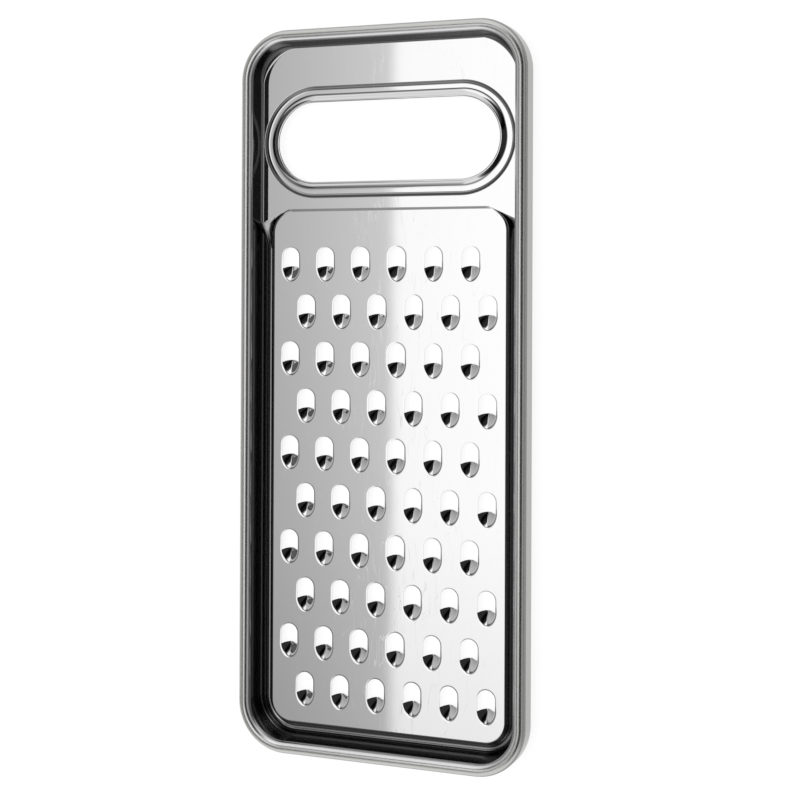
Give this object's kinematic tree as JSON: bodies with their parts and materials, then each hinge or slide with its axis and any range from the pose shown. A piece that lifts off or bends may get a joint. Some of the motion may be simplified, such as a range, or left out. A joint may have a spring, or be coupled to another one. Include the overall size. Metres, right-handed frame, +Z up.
{
  "type": "flat grater",
  "caption": "Flat hand grater pressed from polished steel sheet, with hooded arched cutting slots, a finger opening, a gutter round the grating panel and a rim rolled over a wire.",
  "frame": {"origin": "centre of the outline, at the ridge under the gutter that the grater rests on", "axes": "+X across the grater, +Y along it towards the finger opening, +Z up out of its hollow side; the teeth stand out below"},
  "size_m": [0.106, 0.2536, 0.0129],
  "materials": {
    "polished_steel": "mirror-polished stainless steel sheet, a little duller where the rim is rolled",
    "drawn_wire": "plain drawn steel wire"
  },
  "bodies": {
    "root": {"grater_sheet": "polished_steel", "rim_wire": "drawn_wire"}
  },
  "joints": []
}
